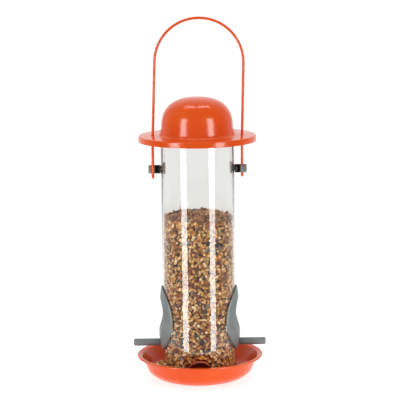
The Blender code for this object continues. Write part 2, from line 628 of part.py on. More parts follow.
def make_tray_seeds():
    """A low heap of spilt seed between the tube's foot and the tray's wall."""
    inner = TUBE_RADIUS + 2 * GAP
    reach = TRAY_CORNER - SHEET - GAP
    foot = degrees(asin((inner - FOOT_RING_OUTER) / reach))
    profile = arc(FOOT_RING_OUTER, TRAY_CORNER, reach, foot - 90, -50, 4)
    top = (profile[-1][0] - 1.5, profile[-1][1] + 1.5)
    profile += [top, (inner, TRAY_FLOOR + GAP + SPILL_HEIGHT)]
    heap = turned(profile, steps=14, start=SPILL_START, sweep=SPILL_END - SPILL_START)
    add_object("tray_seeds", heap, MIXED_SEED)


make_tray()
make_tube()
make_lid()
make_handle()
for side_name, direction in SIDES.items():
    make_clip(side_name, direction)
    make_shield(side_name, direction)
    make_baffle(side_name, direction)
    make_perch(side_name, direction)
    make_bracket(side_name, direction)
    make_fasteners(side_name, direction)
make_seed_fill()
make_tray_seeds()
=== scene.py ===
"""Looks of the hanging tube bird feeder: enamelled steel lid, bail and tray, a clear plastic tube
full of mixed seed, and grey moulded ports, perches and clips, in the order it is put together."""

from math import atan2, cos, hypot, pi, radians, sin, sqrt, tan

import bmesh
import bpy
import numpy as np
from mathutils import Matrix, Vector, noise


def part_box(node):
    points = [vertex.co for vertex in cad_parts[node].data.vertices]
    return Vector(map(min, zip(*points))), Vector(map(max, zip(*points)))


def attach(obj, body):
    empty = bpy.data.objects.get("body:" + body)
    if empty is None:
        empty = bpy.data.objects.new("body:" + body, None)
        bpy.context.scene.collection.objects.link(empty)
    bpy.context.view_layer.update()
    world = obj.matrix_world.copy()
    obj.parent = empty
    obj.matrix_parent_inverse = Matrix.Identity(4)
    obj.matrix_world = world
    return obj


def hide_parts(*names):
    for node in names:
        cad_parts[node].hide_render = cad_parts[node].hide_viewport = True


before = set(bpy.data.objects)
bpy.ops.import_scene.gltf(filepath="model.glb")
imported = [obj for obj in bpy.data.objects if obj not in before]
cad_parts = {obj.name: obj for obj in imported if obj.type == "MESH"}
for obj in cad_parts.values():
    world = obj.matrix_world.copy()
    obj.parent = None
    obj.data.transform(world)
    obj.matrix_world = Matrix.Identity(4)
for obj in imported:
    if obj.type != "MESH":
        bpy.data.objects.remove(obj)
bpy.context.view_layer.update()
MM = 0.001

# ---- tray -------------------------------------------------------------------------------------
# Deep-drawn from 0.8 mm sheet steel: a foot ring, a raised floor with a central cone that turns the
# seed outwards, a curved wall and a rolled lip. Dipped and stoved in glossy orange enamel paint.
SHEET = 0.8
TURN_STEPS = 144
ORANGE = "#F2580E"
ORANGE_DEEP = "#E85009"
ORANGE_WORN = "#F66822"


def linear(colour):
    """An sRGB hex colour as the linear RGBA that shaders take."""
    parts = [int(colour[i:i + 2], 16) / 255 for i in (1, 3, 5)]
    return (*[c / 12.92 if c <= 0.04045 else ((c + 0.055) / 1.055) ** 2.4 for c in parts], 1.0)


def add_node(tree, kind, settings=None, **inputs):
    """A node with its settings, which for a ramp are its stops as (place, colour) pairs. An input
    is a value, or another node's output to link from, and is named, or numbered as i0, i1 and on."""
    made = tree.nodes.new("ShaderNode" + kind)
    settings = dict(settings or {})
    stops = settings.pop("stops", [])
    for key, value in settings.items():
        setattr(made, key, value)
    for _ in stops[2:]:
        made.color_ramp.elements.new(0.5)
    for at, (where, colour) in enumerate(stops):
        made.color_ramp.elements[at].position = where
        made.color_ramp.elements[at].color = linear(colour)
    for key, value in inputs.items():
        numbered = key[1:].isdigit()
        socket = made.inputs[int(key[1:]) if numbered else key.replace("_", " ")]
        if isinstance(value, bpy.types.NodeSocket):
            tree.links.new(value, socket)
        else:
            socket.default_value = value
    return made


def new_material(name, roughness, metallic=0.0):
    """A material with its Principled shader and an Object coordinate to hang patterns on."""
    made = bpy.data.materials.new(name)
    made.use_nodes = True
    tree = made.node_tree
    shader = tree.nodes["Principled BSDF"]
    shader.inputs["Roughness"].default_value = roughness
    shader.inputs["Metallic"].default_value = metallic
    place = add_node(tree, "TexCoord").outputs["Object"]
    return made, tree, shader, place


def grain_size(millimetres):
    """The Scale of a noise on Object coordinates whose spots are about that far apart."""
    return 1 / (millimetres * MM)


def enamel_paint():
    """Stoved enamel: a deep even colour with a hard gloss and a faint orange-peel ripple. Its
    colour drifts a little over the sheet, and handling has dulled the gloss in patches."""
    made, tree, shader, place = new_material("stoved_orange_enamel", 0.16)
    shader.inputs["IOR"].default_value = 1.4
    cloud = add_node(tree, "TexNoise", Vector=place, Scale=grain_size(38), Detail=3.0)
    stops = [(0.3, ORANGE_DEEP), (0.55, ORANGE), (0.8, ORANGE_WORN)]
    body = add_node(tree, "ValToRGB", {"stops": stops}, Fac=cloud.outputs["Fac"])
    tree.links.new(body.outputs["Color"], shader.inputs["Base Color"])
    wear = add_node(tree, "TexNoise", Vector=place, Scale=grain_size(6), Detail=4.0)
    gloss = add_node(tree, "MapRange", Value=wear.outputs["Fac"], To_Min=0.14, To_Max=0.22)
    tree.links.new(gloss.outputs["Result"], shader.inputs["Roughness"])
    peel = add_node(tree, "TexNoise", Vector=place, Scale=grain_size(1.6), Detail=2.0)
    bump = add_node(tree, "Bump", Height=peel.outputs["Fac"], Strength=0.12, Distance=0.05 * MM)
    tree.links.new(bump.outputs["Normal"], shader.inputs["Normal"])
    return made


ENAMEL = enamel_paint()


def arc(centre_r, centre_z, radius, start, end, steps):
    """Points in the (r, z) half-plane along an arc, its angles in degrees."""
    angles = [radians(start + (end - start) * i / steps) for i in range(steps + 1)]
    return [(centre_r + radius * cos(a), centre_z + radius * sin(a)) for a in angles]


def turned(outline, steps=TURN_STEPS):
    """A bmesh turned about Z from an (r, z) outline in millimetres, closed or ending on the axis."""
    made = bmesh.new()
    verts = [made.verts.new((r * MM, 0, z * MM)) for r, z in outline]
    pairs = list(zip(verts, verts[1:]))
    if outline[0][0] > 0:
        pairs.append((verts[-1], verts[0]))
    edges = [made.edges.new(pair) for pair in pairs]
    bmesh.ops.spin(
        made, geom=verts + edges, cent=(0, 0, 0), axis=(0, 0, 1), angle=2 * pi, steps=steps,
        use_merge=True)
    return made


def add_piece(name, shape, material, sharp=40.0):
    """Put a finished bmesh in the scene, merged, facing outwards and smooth up to an angle."""
    bmesh.ops.remove_doubles(shape, verts=shape.verts, dist=0.002 * MM)
    bmesh.ops.recalc_face_normals(shape, faces=shape.faces)
    mesh = bpy.data.meshes.new(name)
    shape.to_mesh(mesh)
    shape.free()
    mesh.shade_smooth()
    mesh.set_sharp_from_angle(angle=radians(sharp))
    mesh.materials.append(material)
    made = bpy.data.objects.new(name, mesh)
    bpy.context.collection.objects.link(made)
    return made


def stands_for(piece, body, slot, *nodes):
    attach(piece, body)
    if nodes:
        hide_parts(*nodes)


def rod(radius, start, end, steps=48):
    """A cylinder between two points in millimetres."""
    start, end = Vector(start) * MM, Vector(end) * MM
    along = end - start
    facing = along.to_track_quat("Z", "Y").to_matrix().to_4x4()
    made = bmesh.new()
    bmesh.ops.create_cone(
        made, cap_ends=True, segments=steps, radius1=radius * MM, radius2=radius * MM,
        depth=along.length, matrix=Matrix.Translation((start + end) / 2) @ facing)
    return made


def cut(piece, *tools):
    """Cut bmesh tools out of a piece for good, and leave nothing of them behind."""
    for tool in tools:
        other = add_piece("cut_tool", tool, ENAMEL)
        step = piece.modifiers.new("cut", "BOOLEAN")
        step.solver = "EXACT"
        step.object = other
        finished = piece.evaluated_get(bpy.context.evaluated_depsgraph_get())
        held = bpy.data.meshes.new_from_object(finished)
        piece.modifiers.clear()
        piece.data = held
        bpy.data.objects.remove(other, do_unlink=True)


tray_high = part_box("tray")[1]
TRAY_RADIUS = tray_high[0] / MM
TRAY_HEIGHT = tray_high[2] / MM
TRAY_WALL_TOP = 55.8
TRAY_CORNER = 21.0
TRAY_SLOPE = 54.0
FOOT_INNER = 31.7
FOOT_OUTER = 33.5
TRAY_FLOOR = 3.0
CONE_RADIUS = 21.0
CONE_HEIGHT = 10.0
BEAD = 0.9
SCREW_HOLE = 1.8


def tray_wall(inset):
    """From the foot ring's outer edge up the wall to the lip, that far inside the outer face."""
    corner = arc(FOOT_OUTER, TRAY_CORNER, TRAY_CORNER - inset, -90, TRAY_SLOPE - 90, 14)
    near_r, near_z = corner[-1]
    top_r = TRAY_WALL_TOP - inset / 2
    top_z = TRAY_HEIGHT - SHEET - 1.2 + inset * 0.25
    rise = [
        (near_r + (top_r - near_r) * t, near_z + (top_z - near_z) * t) for t in (0.25, 0.5, 0.75)]
    flare = [(top_r + 0.15, top_z + 0.35), (top_r + 0.55, top_z + 0.8 - inset * 0.1)]
    return corner + rise + [(top_r, top_z)] + flare


def tray_outline():
    steps = [i / 10 for i in range(11)]
    cone_top = [(CONE_RADIUS * t, TRAY_FLOOR + CONE_HEIGHT * (1 + cos(pi * t)) / 2) for t in steps]
    cone_under = [(r, z - SHEET) for r, z in cone_top]
    under_floor = TRAY_FLOOR - SHEET
    under = cone_under + [(FOOT_INNER + r, z) for r, z in (
        (-2.3, under_floor), (-1.8, under_floor - 0.15), (-1.4, 1.6), (-0.7, 0.5), (-0.4, 0.12),
        (0.1, 0.0))]
    under += tray_wall(0.0)
    lip_r, lip_z = TRAY_RADIUS - BEAD, TRAY_HEIGHT - BEAD
    lip = [(lip_r - 1.6, TRAY_HEIGHT - SHEET - 0.05)] + arc(lip_r, lip_z, BEAD, -150, 100, 14)
    lip += [(lip_r - 1.6, TRAY_HEIGHT - 0.02)]
    inside = [(FOOT_INNER + r, z) for r, z in (
        (0.6, SHEET), (0.2, 0.95), (-0.2, 1.4), (-0.9, 2.4), (-1.4, 2.85), (-2.1, TRAY_FLOOR))]
    return under + lip + list(reversed(tray_wall(SHEET))) + inside + list(reversed(cone_top))


tray = add_piece("painted_tray", turned(tray_outline()), ENAMEL, sharp=50)
for side in ("left", "right"):
    screw_low, screw_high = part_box("tray_screw_" + side)
    screw_x = ((screw_low + screw_high) / 2 / MM)[0]
    cut(tray, rod(SCREW_HOLE, (screw_x, 0, -1), (screw_x, 0, 6), 24))
stands_for(tray, "root", "orange_paint", "tray")

# ---- tube -------------------------------------------------------------------------------------
# Extruded clear plastic tube, 70 mm with a 1.2 mm wall, sawn off square with its edges flamed
# round. The feeding holes, clip holes and the arches in its foot are punched. It has fine scuffs.
tube_low, tube_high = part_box("tube")
TUBE_RADIUS = tube_high[0] / MM
TUBE_WALL = 1.2
TUBE_BORE = TUBE_RADIUS - TUBE_WALL
TUBE_FOOT = tube_low[2] / MM
TUBE_TOP = tube_high[2] / MM
ARCH_RADIUS = 15.5
ARCH_CENTRE = 22.2 - ARCH_RADIUS
PORT_HEIGHT = 63.5
PORT_CUT_RADIUS = 16.2
CLIP_HEIGHT = 203.0
PERCH_HEIGHT = 34.3
TUBE_SCREW_HEIGHT = 10.8
CLIP_HOLE = 3.2
SPIGOT_HOLE = 2.7


def clear_plastic():
    """Clear PET: glassy, slightly grey, with light scuffs that only break up the gloss. The
    refraction is kept low so that the thin wall's edges stay clear, and a coat carries the
    plastic's full gloss."""
    made, tree, shader, place = new_material("clear_extruded_plastic", 0.03)
    shader.inputs["Base Color"].default_value = linear("#F4F4F2")
    shader.inputs["Transmission Weight"].default_value = 1.0
    shader.inputs["IOR"].default_value = 1.12
    shader.inputs["Coat Weight"].default_value = 1.0
    shader.inputs["Coat Roughness"].default_value = 0.03
    stretch = add_node(tree, "Mapping", Vector=place, Scale=(1.0, 1.0, 0.08))
    scuff = add_node(
        tree, "TexNoise", Vector=stretch.outputs["Vector"], Scale=grain_size(2.5), Detail=5.0)
    gloss = add_node(
        tree, "MapRange", Value=scuff.outputs["Fac"], From_Min=0.45, From_Max=0.8, To_Min=0.02,
        To_Max=0.09)
    tree.links.new(gloss.outputs["Result"], shader.inputs["Roughness"])
    return made


def tube_shape():
    edge = 0.35
    outline = arc(TUBE_RADIUS - edge, TUBE_TOP - edge, edge, 0, 90, 3)
    outline += arc(TUBE_BORE + edge, TUBE_TOP - edge, edge, 90, 180, 3)
    outline += arc(TUBE_BORE + edge, TUBE_FOOT + edge, edge, 180, 270, 3)
    outline += arc(TUBE_RADIUS - edge, TUBE_FOOT + edge, edge, 270, 360, 3)
    return turned(outline)


tube = add_piece("clear_tube", tube_shape(), clear_plastic())
cut(tube, rod(ARCH_RADIUS, (0, -40, ARCH_CENTRE), (0, 40, ARCH_CENTRE), 96))
for sign in (-1, 1):
    for radius, height in ((PORT_CUT_RADIUS, PORT_HEIGHT), (CLIP_HOLE, CLIP_HEIGHT),
                           (SPIGOT_HOLE, PERCH_HEIGHT), (SCREW_HOLE, TUBE_SCREW_HEIGHT)):
        cut(tube, rod(radius, (sign * 15, 0, height), (sign * 40, 0, height), 64))
tube.data.shade_smooth()
tube.data.set_sharp_from_angle(angle=radians(40))
stands_for(tube, "root", "clear_plastic", "tube")

# ---- feeding ports ----------------------------------------------------------------------------
# Each port is two grey mouldings that clamp the tube's wall: an oval shield outside with a round
# feeding hole and a collar through the wall, and a hooded baffle inside. Satin-textured moulds.
SHIELD_CENTRE = 58.6
SHIELD_HALF_WIDTH = 24.5
SHIELD_HALF_HEIGHT = 31.2
SHIELD_SEAT = TUBE_RADIUS + 0.3
SHIELD_EDGE = 1.0
SHIELD_BULGE = 2.3
SHIELD_BULGE_SLOPE = 0.03
FEED_HOLE = 14.5
COLLAR = 15.7
COLLAR_END = TUBE_RADIUS - 7.0


def satin_plastic(name, dark, light, roughness):
    """Injection-moulded polypropylene: an even colour with a fine spark-eroded texture and faint
    flow marks."""
    made, tree, shader, place = new_material(name, roughness)
    flow = add_node(
        tree, "TexNoise", Vector=place, Scale=grain_size(14), Detail=3.0, Distortion=0.6)
    stops = [(0.3, dark), (0.7, light)]
    body = add_node(tree, "ValToRGB", {"stops": stops}, Fac=flow.outputs["Fac"])
    tree.links.new(body.outputs["Color"], shader.inputs["Base Color"])
    grit = add_node(tree, "TexNoise", Vector=place, Scale=grain_size(0.7), Detail=3.0)
    gloss = add_node(
        tree, "MapRange", Value=grit.outputs["Fac"], To_Min=roughness - 0.06,
        To_Max=roughness + 0.08)
    tree.links.new(gloss.outputs["Result"], shader.inputs["Roughness"])
    bump = add_node(tree, "Bump", Height=grit.outputs["Fac"], Strength=0.25, Distance=0.04 * MM)
    tree.links.new(bump.outputs["Normal"], shader.inputs["Normal"])
    shader.inputs["IOR"].default_value = 1.49
    return made


SATIN_GREY = satin_plastic("satin_moulded_grey", "#7C8281", "#8B9190", 0.42)


def shield_face(y, z):
    """The shield's outer face, as a distance from the tube's axis."""
    out = hypot(y / SHIELD_HALF_WIDTH, (z - SHIELD_CENTRE) / SHIELD_HALF_HEIGHT)
    bulge = SHIELD_BULGE - SHIELD_BULGE_SLOPE * (z - SHIELD_CENTRE)
    return SHIELD_SEAT + SHIELD_EDGE + bulge * (1 - min(out, 1.0) ** 4)


def shield_station(angle):
    """The shield's cross-section at one angle about the feeding hole, as (x, y, z) points."""
    across, up = cos(angle), sin(angle)
    hole = Vector((FEED_HOLE * across, PORT_HEIGHT + FEED_HOLE * up))
    collar = Vector((COLLAR * across, PORT_HEIGHT + COLLAR * up))
    edge = Vector((SHIELD_HALF_WIDTH * across, SHIELD_CENTRE + SHIELD_HALF_HEIGHT * up))
    points = [(COLLAR_END, *hole), (COLLAR_END + 3.0, *hole)]
    rounding = [(0.0, 1.1), (0.012, 0.45), (0.045, 0.12)]
    rounding += [(share, 0.0) for share in (0.1, 0.2, 0.32, 0.45, 0.58, 0.7, 0.81, 0.9)]
    rounding += [(0.96, 0.05), (0.985, 0.25), (1.0, 0.7)]
    for share, drop in rounding:
        spot = hole.lerp(edge, share)
        radius = shield_face(*spot) - drop
        points.append((sqrt(radius ** 2 - spot[0] ** 2), *spot))
    for share in (1.0, 0.66, 0.33, 0.0):
        spot = collar.lerp(edge, share)
        points.append((sqrt(SHIELD_SEAT ** 2 - spot[0] ** 2), *spot))
    return points + [(COLLAR_END, *collar)]


def shield_shape(sign, steps=96):
    """Rings extruded one after another from the feeding hole outwards and back, then closed."""
    stations = [shield_station(2 * pi * i / steps) for i in range(steps)]
    made = bmesh.new()
    bmesh.ops.create_circle(made, segments=steps, radius=FEED_HOLE * MM)
    made.verts.ensure_lookup_table()
    first = ring = made.edges[:]
    order = sorted(made.verts, key=lambda v: atan2(v.co.y, v.co.x) % (2 * pi))
    for level in range(len(stations[0])):
        if level:
            grown = bmesh.ops.extrude_edge_only(made, edges=ring)["geom"]
            ring = [g for g in grown if isinstance(g, bmesh.types.BMEdge)]
            fresh = {g for g in grown if isinstance(g, bmesh.types.BMVert)}
            order = [
                next(e.other_vert(v) for e in v.link_edges if e.other_vert(v) in fresh)
                for v in order]
            ring = [e for e in ring if all(v in fresh for v in e.verts)]
        for vert, station in zip(order, stations):
            x, y, z = station[level]
            vert.co = Vector((sign * x, y, z)) * MM
    bmesh.ops.bridge_loops(made, edges=list(first) + ring)
    return made


def softened(name, node, material, width=0.25, sharp=40.0):
    """A cleaned copy of a small CAD node, its corners rounded as the mould or tool leaves them."""
    shape = bmesh.new()
    shape.from_mesh(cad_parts[node].data)
    bmesh.ops.remove_doubles(shape, verts=shape.verts, dist=0.002 * MM)
    bmesh.ops.dissolve_limit(
        shape, angle_limit=radians(0.5), verts=shape.verts, edges=shape.edges)
    made = add_piece(name, shape, material, sharp)
    rounding = made.modifiers.new("rounded_corners", "BEVEL")
    rounding.width = width * MM
    rounding.segments = 2
    rounding.limit_method = "ANGLE"
    rounding.angle_limit = radians(35)
    rounding.use_clamp_overlap = True
    return made


for side, sign in (("left", -1), ("right", 1)):
    shield = add_piece("feeding_shield_" + side, shield_shape(sign), SATIN_GREY, sharp=55)
    cut(shield, rod(SPIGOT_HOLE, (sign * 20, 0, PERCH_HEIGHT), (sign * 50, 0, PERCH_HEIGHT), 40))
    shield.data.shade_smooth()
    shield.data.set_sharp_from_angle(angle=radians(50))
    stands_for(shield, "root", "grey_plastic", "port_shield_" + side)
    baffle = softened("hooded_baffle_" + side, "port_baffle_" + side, SATIN_GREY, 0.15)
    stands_for(baffle, "root", "grey_plastic", "port_baffle_" + side)

# ---- perches ----------------------------------------------------------------------------------
# Moulded rods in a darker grey: a chamfered tip with a gate pip, a parting line down each side, and
# a thin spigot that goes through the shield and the tube into the baffle's boss.
PERCH_RADIUS = 3.5
SPIGOT_RADIUS = 2.4
PERCH_GREY = satin_plastic("moulded_perch_grey", "#767C7D", "#868B8C", 0.38)


def perch_shape(sign, tip, root):
    shoulder = shield_face(0.0, PERCH_HEIGHT) + 0.4
    outline = [(0.0, root), (SPIGOT_RADIUS - 0.3, root), (SPIGOT_RADIUS, root + 0.4)]
    outline += [(SPIGOT_RADIUS, shoulder), (PERCH_RADIUS - 0.25, shoulder)]
    outline += [(PERCH_RADIUS, shoulder + 0.3), (PERCH_RADIUS, tip - 1.2)]
    outline += [(PERCH_RADIUS - 0.15, tip - 0.8)]
    outline += [(2.55, tip - 0.08), (2.2, tip), (1.0, tip), (0.9, tip - 0.35), (0.55, tip - 0.35)]
    outline += [(0.45, tip - 0.1), (0.0, tip - 0.1)]
    made = turned(outline, steps=56)
    for vert in made.verts:
        if abs(vert.co.y) < 0.01 * MM and abs(vert.co.x) > (PERCH_RADIUS - 0.1) * MM:
            vert.co.x *= 1.025
    lay = Matrix.Rotation(radians(90 * sign), 4, "Y")
    lift = Matrix.Translation((0, 0, PERCH_HEIGHT * MM))
    bmesh.ops.transform(made, matrix=lift @ lay, verts=made.verts)
    return made


for side, sign in (("left", -1), ("right", 1)):
    low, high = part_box("perch_" + side)
    tip, root = (high[0], low[0]) if sign > 0 else (-low[0], -high[0])
    perch = add_piece("perch_rod_" + side, perch_shape(sign, tip / MM, root / MM), PERCH_GREY)
    stands_for(perch, "root", "grey_plastic", "perch_" + side)

# ---- brackets and screws ----------------------------------------------------------------------
# Zinc-plated angles, pan head screws and hexagon nuts that hold the tube's foot to the tray. Plate
# is a dull, slightly warm metal, cloudy where the crystals are coarser.


def zinc_plate():
    made, tree, shader, place = new_material("zinc_plated_steel", 0.32, metallic=1.0)
    cloud = add_node(tree, "TexNoise", Vector=place, Scale=grain_size(1.8), Detail=4.0)
    stops = [(0.35, "#A7A49C"), (0.7, "#C6C4BC")]
    body = add_node(tree, "ValToRGB", {"stops": stops}, Fac=cloud.outputs["Fac"])
    tree.links.new(body.outputs["Color"], shader.inputs["Base Color"])
    gloss = add_node(tree, "MapRange", Value=cloud.outputs["Fac"], To_Min=0.24, To_Max=0.42)
    tree.links.new(gloss.outputs["Result"], shader.inputs["Roughness"])
    return made


ZINC = zinc_plate()
for side in ("left", "right"):
    for kind, width in (("bracket", 0.2), ("tube_screw", 0.1), ("tube_nut", 0.15),
                        ("tray_screw", 0.1), ("tray_nut", 0.15)):
        node = f"{kind}_{side}"
        stands_for(softened("plated_" + node, node, ZINC, width), "root", "plated_steel", node)

# ---- bail and clips ---------------------------------------------------------------------------
# One length of 2.5 mm spring wire, enamelled orange: each end drops through a clip, hooks round
# under it and comes up again; above, the legs lean and close a little and meet in an arch. The clips
# are moulded in grey, with a pocket each side of a web, are near-black from the tube's wall out to
# 40.6 mm, and turn in the tube's holes.
WIRE_RADIUS = 1.25
HALF_SPAN = 42.4
LEAN = 1.9
CLOSING = 0.4
BEND_HEIGHT = 229.0
SPRING_HEIGHT = 304.0
CLIP_RADIUS = 4.1
HOOK_TIP = 8.0


def wire_x(sign, height):
    """Where a leg of the bail is at a height: upright through the clip and lid, leaning above."""
    above = max(0.0, min(height, SPRING_HEIGHT) - BEND_HEIGHT)
    return sign * (HALF_SPAN - above * tan(radians(CLOSING))) + above * tan(radians(LEAN))


def leg_points(sign):
    """A leg from its hooked tip, round under the clip and up to the arch."""
    turn = (CLIP_RADIUS + 0.3 + WIRE_RADIUS) / 2
    low = CLIP_HEIGHT - CLIP_RADIUS - 0.3 - WIRE_RADIUS + turn * 0.4
    back = sign * turn
    x = wire_x(sign, CLIP_HEIGHT)
    points = [(x, 2 * back, CLIP_HEIGHT + z) for z in (HOOK_TIP, HOOK_TIP - 0.2, 4.0, 0.0)]
    turns = [radians(angle) for angle in range(0, 181, 10)]
    points += [(x, back + back * cos(a), low - turn * sin(a)) for a in turns]
    heights = [CLIP_HEIGHT, BEND_HEIGHT - 6, BEND_HEIGHT - 3, BEND_HEIGHT]
    heights += [BEND_HEIGHT + (SPRING_HEIGHT - BEND_HEIGHT) * i / 12 for i in range(1, 12)]
    return points + [(wire_x(sign, z), 0.0, z) for z in heights]


def bail_route(arch_steps=96):
    left, right = wire_x(-1, SPRING_HEIGHT), wire_x(1, SPRING_HEIGHT)
    centre, radius = (left + right) / 2, (right - left) / 2
    angles = [pi * i / arch_steps for i in range(arch_steps + 1)]
    arch = [(centre - radius * cos(a), 0.0, SPRING_HEIGHT + radius * sin(a)) for a in angles]
    return leg_points(-1) + arch + list(reversed(leg_points(1)))


route = bail_route()
wire = bpy.data.curves.new("bail_wire", "CURVE")
wire.dimensions = "3D"
wire.bevel_depth = WIRE_RADIUS * MM
wire.bevel_resolution = 6
wire.use_fill_caps = True
strand = wire.splines.new("POLY")
strand.points.add(len(route) - 1)
for point, spot in zip(strand.points, route):
    point.co = (*(Vector(spot) * MM), 1.0)
wire.materials.append(ENAMEL)
bail = bpy.data.objects.new("bail_wire", wire)
bpy.context.collection.objects.link(bail)
stands_for(bail, "handle", "orange_paint", "handle")

CLIP_GREY = satin_plastic("moulded_clip_grey", "#85867F", "#97978F", 0.4)
CLIP_BLACK = satin_plastic("near_black_clip_band", "#1B1918", "#262322", 0.45)
CLIP_DARK_END = 40.6
for side in ("left", "right"):
    clip = softened("bail_clip_" + side, "clip_" + side, CLIP_GREY, 0.3)
    shape = bmesh.new()
    shape.from_mesh(clip.data)
    for x in (-CLIP_DARK_END, CLIP_DARK_END):
        everything = shape.verts[:] + shape.edges[:] + shape.faces[:]
        bmesh.ops.bisect_plane(shape, geom=everything, plane_co=(x * MM, 0, 0), plane_no=(1, 0, 0))
    # Faces from the tube's wall out to 40.6 mm take the near-black material.
    for face in shape.faces:
        across = abs(face.calc_center_median().x) / MM
        face.material_index = int(TUBE_RADIUS < across < CLIP_DARK_END)
    shape.to_mesh(clip.data)
    shape.free()
    clip.data.materials.append(CLIP_BLACK)
    stands_for(clip, "handle", "grey_plastic", "clip_" + side)

# ---- lid --------------------------------------------------------------------------------------
# Deep-drawn sheet steel in a bowler shape: a tall crown, a flat brim with a turned-down skirt and
# two pierced holes that slide on the bail. Enamelled with the tray.
lid_low, lid_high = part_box("lid")
BRIM_RADIUS = lid_high[0] / MM
BRIM_TOP = 235.4
HEM = lid_low[2] / MM
LID_TOP = lid_high[2] / MM
BRIM_EDGE = 1.3
CROWN_BASE = 35.4
CROWN_SHOULDER = 34.0
CROWN_RISE = 7.5
CROWN_FULLNESS = 2.45
CROWN_FILLET = 4.0
WIRE_HOLE = 2.3


def crown_outline(inset):
    """The crown from the brim up to the axis, that far inside its outer face."""
    foot = BRIM_TOP - inset
    fillet = CROWN_FILLET + inset
    rise = BRIM_TOP + CROWN_RISE
    height = LID_TOP - inset - rise
    points = arc(CROWN_BASE - inset + fillet, foot + fillet, fillet, -90, -180, 8)
    for i in range(33):
        t = radians(90 * i / 32)
        out = (CROWN_SHOULDER - inset) * max(cos(t), 0.0) ** (2 / CROWN_FULLNESS)
        points.append((out, rise + height * sin(t) ** (2 / CROWN_FULLNESS)))
    points[-1] = (0.0, rise + height)
    return points


def lid_outline():
    edge = BRIM_RADIUS - BRIM_EDGE
    round_z = BRIM_TOP - BRIM_EDGE
    hem = arc(BRIM_RADIUS - SHEET / 2, HEM + SHEET / 2, SHEET / 2, 180, 360, 6)
    outside = arc(edge, round_z, BRIM_EDGE, 0, 90, 6) + crown_outline(0.0)
    inside = crown_outline(SHEET)[::-1] + arc(edge, round_z, BRIM_EDGE - SHEET, 90, 0, 4)
    return inside + hem + outside


lid = add_piece("bowler_lid", turned(lid_outline(), steps=160), ENAMEL, sharp=50)
for sign in (-1, 1):
    hole_x = wire_x(sign, BRIM_TOP)
    cut(lid, rod(WIRE_HOLE, (hole_x, 0, BRIM_TOP - 3), (hole_x, 0, BRIM_TOP + 2), 32))
lid.data.shade_smooth()
lid.data.set_sharp_from_angle(angle=radians(50))
stands_for(lid, "lid", "orange_paint", "lid")

# ---- seed -------------------------------------------------------------------------------------
# A winter mix: straw-coloured wheat and oats, cracked golden maize, dark sunflower, red milo and
# cream millet. It lies flat against the wall, its lumpy top is almost level, and some has run into
# the tray.
SEED_WALL = TUBE_BORE - 0.1
SEED_LOW = 5.5
SEED_TOP = 157.0
ROWS_TOP = 172.0
PORT_SEED = 58.0
PLATE_CENTRE = 54.5
PLATE_HALF_WIDTH = 20.5
PLATE_HALF_HEIGHT = 28.5
PLATE_BACK = 30.0
HOOD_RADIUS = 18.5
HOOD_REACH = 14.5
BOSS_RADIUS = 6.5
BOSS_REACH = 24.0
BRACKET_HALF_WIDTH = 6.5
BRACKET_TOP = 21.0
BRACKET_REACH = 19.0
draw = np.random.default_rng(11)


def seed_coat(name, stops, roughness, spot_mm, dark):
    """Dry husk: each grain its own tone, blotched, with painted shade that darkens grains lying deep
    between others and brightens them a little at the wall; the top of the seed and the feeding holes
    are kept nearly free of it."""
    made, tree, shader, place = new_material(name, roughness)
    grain = add_node(tree, "NewGeometry").outputs["Random Per Island"]
    shade = add_node(tree, "ValToRGB", {"stops": stops}, Fac=grain)
    blotch = add_node(tree, "TexNoise", Vector=place, Scale=grain_size(spot_mm), Detail=4.0)
    mask = add_node(
        tree, "MapRange", Value=blotch.outputs["Fac"], From_Min=0.5, From_Max=0.78, To_Max=0.75)
    mixed = add_node(
        tree, "Mix", {"data_type": "RGBA"}, i0=mask.outputs["Result"],
        i6=shade.outputs["Color"], i7=linear(dark))
    flat = add_node(tree, "VectorMath", {"operation": "MULTIPLY"}, i0=place, i1=(1.0, 1.0, 0.0))
    out = add_node(tree, "VectorMath", {"operation": "LENGTH"}, i0=flat.outputs["Vector"])
    # Painted shade: the colour darkens away from the wall, where grains lie deep among others, and is
    # lifted to 1.3 at and beyond the wall.
    painted_depth_shade = add_node(
        tree, "MapRange", Value=out.outputs["Value"], From_Min=(SEED_WALL - 2.9) * MM,
        From_Max=(SEED_WALL - 0.4) * MM, To_Min=0.05, To_Max=1.3)
    height = add_node(tree, "SeparateXYZ", Vector=place).outputs["Z"]
    near_top = add_node(
        tree, "MapRange", Value=height, From_Min=(SEED_TOP - 4.0) * MM, From_Max=SEED_TOP * MM,
        To_Max=0.85)
    port = add_node(
        tree, "Mapping", Vector=place, Location=(0.0, 0.0, -PORT_SEED * MM), Scale=(0.0, 1.0, 1.0))
    off_port = add_node(tree, "VectorMath", {"operation": "LENGTH"}, i0=port.outputs["Vector"])
    near_port = add_node(
        tree, "MapRange", Value=off_port.outputs["Value"], From_Min=18.0 * MM, From_Max=13.0 * MM,
        To_Max=0.85)
    # The painted shade is lifted at the top of the seed and near the feeding holes.
    painted_shade_factor = painted_depth_shade.outputs["Result"]
    for near in (near_top, near_port):
        larger = add_node(
            tree, "Math", {"operation": "MAXIMUM"}, i0=painted_shade_factor, i1=near.outputs["Result"])
        painted_shade_factor = larger.outputs["Value"]
    # The grain's colour scaled by the painted shade.
    body = add_node(
        tree, "VectorMath", {"operation": "SCALE"}, i0=mixed.outputs[2], Scale=painted_shade_factor)
    tree.links.new(body.outputs["Vector"], shader.inputs["Base Color"])
    bump = add_node(tree, "Bump", Height=blotch.outputs["Fac"], Strength=0.5, Distance=0.15 * MM)
    tree.links.new(bump.outputs["Normal"], shader.inputs["Normal"])
    return made


